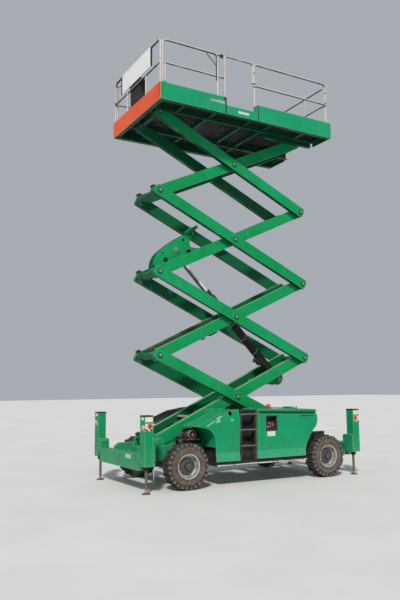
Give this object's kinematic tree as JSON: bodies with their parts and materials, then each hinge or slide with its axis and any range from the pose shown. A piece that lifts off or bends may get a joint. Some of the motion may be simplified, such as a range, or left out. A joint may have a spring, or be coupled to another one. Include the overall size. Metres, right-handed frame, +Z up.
{
  "type": "rough-terrain scissor lift",
  "caption": "Scissor lift raised half way on box arms, with a railed platform, side hoods, lug tyres and outriggers.",
  "frame": {"origin": "on the ground, under the middle of the machine's bounding box", "axes": "+Z up, +X along the machine from its front (roll-out deck) end to its rear end, -Y is its left side with the ladder and the controls"},
  "size_m": [4.946, 2.41, 8.4891],
  "materials": {
    "green_paint": "worn gloss",
    "orange_paint": "faded satin",
    "rail_paint": "dirty off-white, chipped",
    "black_paint": "satin",
    "sign_plate": "matt, blank",
    "bare_steel": "greased",
    "chrome_rod": "polished",
    "rim_paint": "dirty silver",
    "tyre": "dusty",
    "beacon_lens": "gloss",
    "plastic_box": "matt"
  },
  "bodies": {
    "chassis": {"main_frame": "green_paint", "chassis_tracks": "green_paint", "end_beams": "green_paint", "outrigger_towers": "green_paint", "axles": "black_paint", "side_trays": "green_paint", "engine_block": "black_paint", "side_tanks": "black_paint", "ladder": "black_paint", "ground_control_panel": "plastic_box"},
    "wheel_front_left": {"tyre_front_left": "tyre", "rim_front_left": "rim_paint"},
    "wheel_front_right": {"tyre_front_right": "tyre", "rim_front_right": "rim_paint"},
    "wheel_rear_left": {"tyre_rear_left": "tyre", "rim_rear_left": "rim_paint"},
    "wheel_rear_right": {"tyre_rear_right": "tyre", "rim_rear_right": "rim_paint"},
    "knuckle_left": {"knuckle_left": "black_paint"},
    "knuckle_right": {"knuckle_right": "black_paint"},
    "outrigger_front_left": {"outrigger_leg_front_left": "bare_steel"},
    "outrigger_front_right": {"outrigger_leg_front_right": "bare_steel"},
    "outrigger_rear_left": {"outrigger_leg_rear_left": "bare_steel"},
    "outrigger_rear_right": {"outrigger_leg_rear_right": "bare_steel"},
    "hood_front_left": {"hood_front_left": "green_paint"},
    "hood_front_right": {"hood_front_right": "green_paint"},
    "hood_rear_left": {"hood_rear_left": "green_paint", "beacon": "beacon_lens"},
    "hood_rear_right": {"hood_rear_right": "green_paint"},
    "inner_1": {"inner_arms_1": "green_paint", "inner_tubes_1": "green_paint", "cylinder_hanger": "green_paint"},
    "outer_1": {"outer_arms_1": "green_paint", "knuckle_shafts_1": "bare_steel"},
    "inner_2": {"inner_arms_2": "green_paint", "inner_tubes_2": "green_paint"},
    "outer_2": {"outer_arms_2": "green_paint", "knuckle_shafts_2": "bare_steel"},
    "inner_3": {"inner_arms_3": "green_paint", "inner_tubes_3": "green_paint", "fin_bracket": "green_paint"},
    "outer_3": {"outer_arms_3": "green_paint", "knuckle_shafts_3": "bare_steel"},
    "inner_4": {"inner_arms_4": "green_paint", "inner_tubes_4": "green_paint", "upper_roller_axle": "bare_steel"},
    "outer_4": {"outer_arms_4": "green_paint", "knuckle_shafts_4": "bare_steel"},
    "platform": {"platform_frame": "green_paint", "platform_tracks": "green_paint", "fixed_panels": "green_paint", "fixed_rails": "rail_paint"},
    "rollout": {"rollout_deck": "green_paint", "rollout_end_panel": "orange_paint", "rollout_rails": "rail_paint", "sign_panel": "sign_plate", "upper_control_box": "plastic_box"},
    "gate": {"gate_bar": "rail_paint"},
    "barrel": {"cylinder_barrel": "black_paint"},
    "rod": {"cylinder_rod": "chrome_rod"}
  },
  "joints": [
    {"name": "steer_left", "type": "hinge", "parent": "chassis", "child": "knuckle_left", "pos_m": [-1.581, -0.765, 0.42], "axis": [0, 0, 1], "range_deg": [-27, 27]},
    {"name": "steer_right", "type": "hinge", "parent": "chassis", "child": "knuckle_right", "pos_m": [-1.581, 0.765, 0.42], "axis": [0, 0, 1], "range_deg": [-27, 27]},
    {"name": "spin_front_left", "type": "hinge", "parent": "knuckle_left", "child": "wheel_front_left", "pos_m": [-1.581, -1.017, 0.42], "axis": [0, 1, 0], "continuous": true},
    {"name": "spin_front_right", "type": "hinge", "parent": "knuckle_right", "child": "wheel_front_right", "pos_m": [-1.581, 1.017, 0.42], "axis": [0, 1, 0], "continuous": true},
    {"name": "spin_rear_left", "type": "hinge", "parent": "chassis", "child": "wheel_rear_left", "pos_m": [1.652, -1.017, 0.42], "axis": [0, 1, 0], "continuous": true},
    {"name": "spin_rear_right", "type": "hinge", "parent": "chassis", "child": "wheel_rear_right", "pos_m": [1.652, 1.017, 0.42], "axis": [0, 1, 0], "continuous": true},
    {"name": "outrigger_slide_front_left", "type": "slide", "parent": "chassis", "child": "outrigger_front_left", "axis": [0, 0, 1], "range_m": [0, 0.33]},
    {"name": "outrigger_slide_front_right", "type": "slide", "parent": "chassis", "child": "outrigger_front_right", "axis": [0, 0, 1], "range_m": [0, 0.33]},
    {"name": "outrigger_slide_rear_left", "type": "slide", "parent": "chassis", "child": "outrigger_rear_left", "axis": [0, 0, 1], "range_m": [0, 0.33]},
    {"name": "outrigger_slide_rear_right", "type": "slide", "parent": "chassis", "child": "outrigger_rear_right", "axis": [0, 0, 1], "range_m": [0, 0.33]},
    {"name": "hood_hinge_front_left", "type": "hinge", "parent": "chassis", "child": "hood_front_left", "pos_m": [-0.68, -0.596, 1.4], "axis": [-1, 0, 0], "range_deg": [0, 50]},
    {"name": "hood_hinge_front_right", "type": "hinge", "parent": "chassis", "child": "hood_front_right", "pos_m": [-0.68, 0.596, 1.4], "axis": [1, 0, 0], "range_deg": [0, 50]},
    {"name": "hood_hinge_rear_left", "type": "hinge", "parent": "chassis", "child": "hood_rear_left", "pos_m": [0.65, -0.596, 1.4], "axis": [-1, 0, 0], "range_deg": [0, 50]},
    {"name": "hood_hinge_rear_right", "type": "hinge", "parent": "chassis", "child": "hood_rear_right", "pos_m": [0.65, 0.596, 1.4], "axis": [1, 0, 0], "range_deg": [0, 50]},
    {"name": "lift", "type": "hinge", "parent": "chassis", "child": "inner_1", "pos_m": [-1.835, 0, 0.823], "axis": [0, -1, 0], "range_deg": [-20.6, 21.7]},
    {"name": "centre_pin_1", "type": "hinge", "parent": "inner_1", "child": "outer_1", "pos_m": [-0.09353, 0, 1.6315], "axis": [0, -1, 0], "range_deg": [-44, 42]},
    {"name": "left_knuckle_1", "type": "hinge", "parent": "outer_1", "child": "inner_2", "pos_m": [-1.835, 0, 2.44], "axis": [0, -1, 0], "range_deg": [-42, 44]},
    {"name": "centre_pin_2", "type": "hinge", "parent": "inner_2", "child": "outer_2", "pos_m": [-0.09353, 0, 3.2485], "axis": [0, -1, 0], "range_deg": [-44, 42]},
    {"name": "left_knuckle_2", "type": "hinge", "parent": "outer_2", "child": "inner_3", "pos_m": [-1.835, 0, 4.057], "axis": [0, -1, 0], "range_deg": [-42, 44]},
    {"name": "centre_pin_3", "type": "hinge", "parent": "inner_3", "child": "outer_3", "pos_m": [-0.09353, 0, 4.8655], "axis": [0, -1, 0], "range_deg": [-44, 42]},
    {"name": "left_knuckle_3", "type": "hinge", "parent": "outer_3", "child": "inner_4", "pos_m": [-1.835, 0, 5.674], "axis": [0, -1, 0], "range_deg": [-42, 44]},
    {"name": "centre_pin_4", "type": "hinge", "parent": "inner_4", "child": "outer_4", "pos_m": [-0.09353, 0, 6.4825], "axis": [0, -1, 0], "range_deg": [-44, 42]},
    {"name": "platform_pivot", "type": "hinge", "parent": "outer_4", "child": "platform", "pos_m": [-1.835, 0, 7.291], "axis": [0, -1, 0], "range_deg": [-21, 22]},
    {"name": "rollout_slide", "type": "slide", "parent": "platform", "child": "rollout", "axis": [-1, 0, 0], "range_m": [0, 1.2]},
    {"name": "gate_hinge", "type": "hinge", "parent": "platform", "child": "gate", "pos_m": [0.035, -1.1135, 8.065], "axis": [0, 0, -1], "range_deg": [0, 90]},
    {"name": "barrel_pivot", "type": "hinge", "parent": "inner_1", "child": "barrel", "pos_m": [1.24529, 0, 1.97743], "axis": [0, -1, 0], "range_deg": [-45, 43]},
    {"name": "rod_slide", "type": "slide", "parent": "barrel", "child": "rod", "axis": [-0.6958, 0, 0.7182], "range_m": [-0.93, 0.97]}
  ],
  "couplings": [
    {"joint": "steer_right", "follows": "steer_left", "ratio": 1},
    {"joint": "centre_pin_1", "follows": "lift", "ratio": -2},
    {"joint": "left_knuckle_1", "follows": "lift", "ratio": 2},
    {"joint": "centre_pin_2", "follows": "lift", "ratio": -2},
    {"joint": "left_knuckle_2", "follows": "lift", "ratio": 2},
    {"joint": "centre_pin_3", "follows": "lift", "ratio": -2},
    {"joint": "left_knuckle_3", "follows": "lift", "ratio": 2},
    {"joint": "centre_pin_4", "follows": "lift", "ratio": -2},
    {"joint": "platform_pivot", "follows": "lift", "ratio": 1},
    {"joint": "barrel_pivot", "follows": "lift", "ratio": -2.03},
    {"joint": "rod_slide", "follows": "lift", "m_per_rad": 2.507}
  ]
}
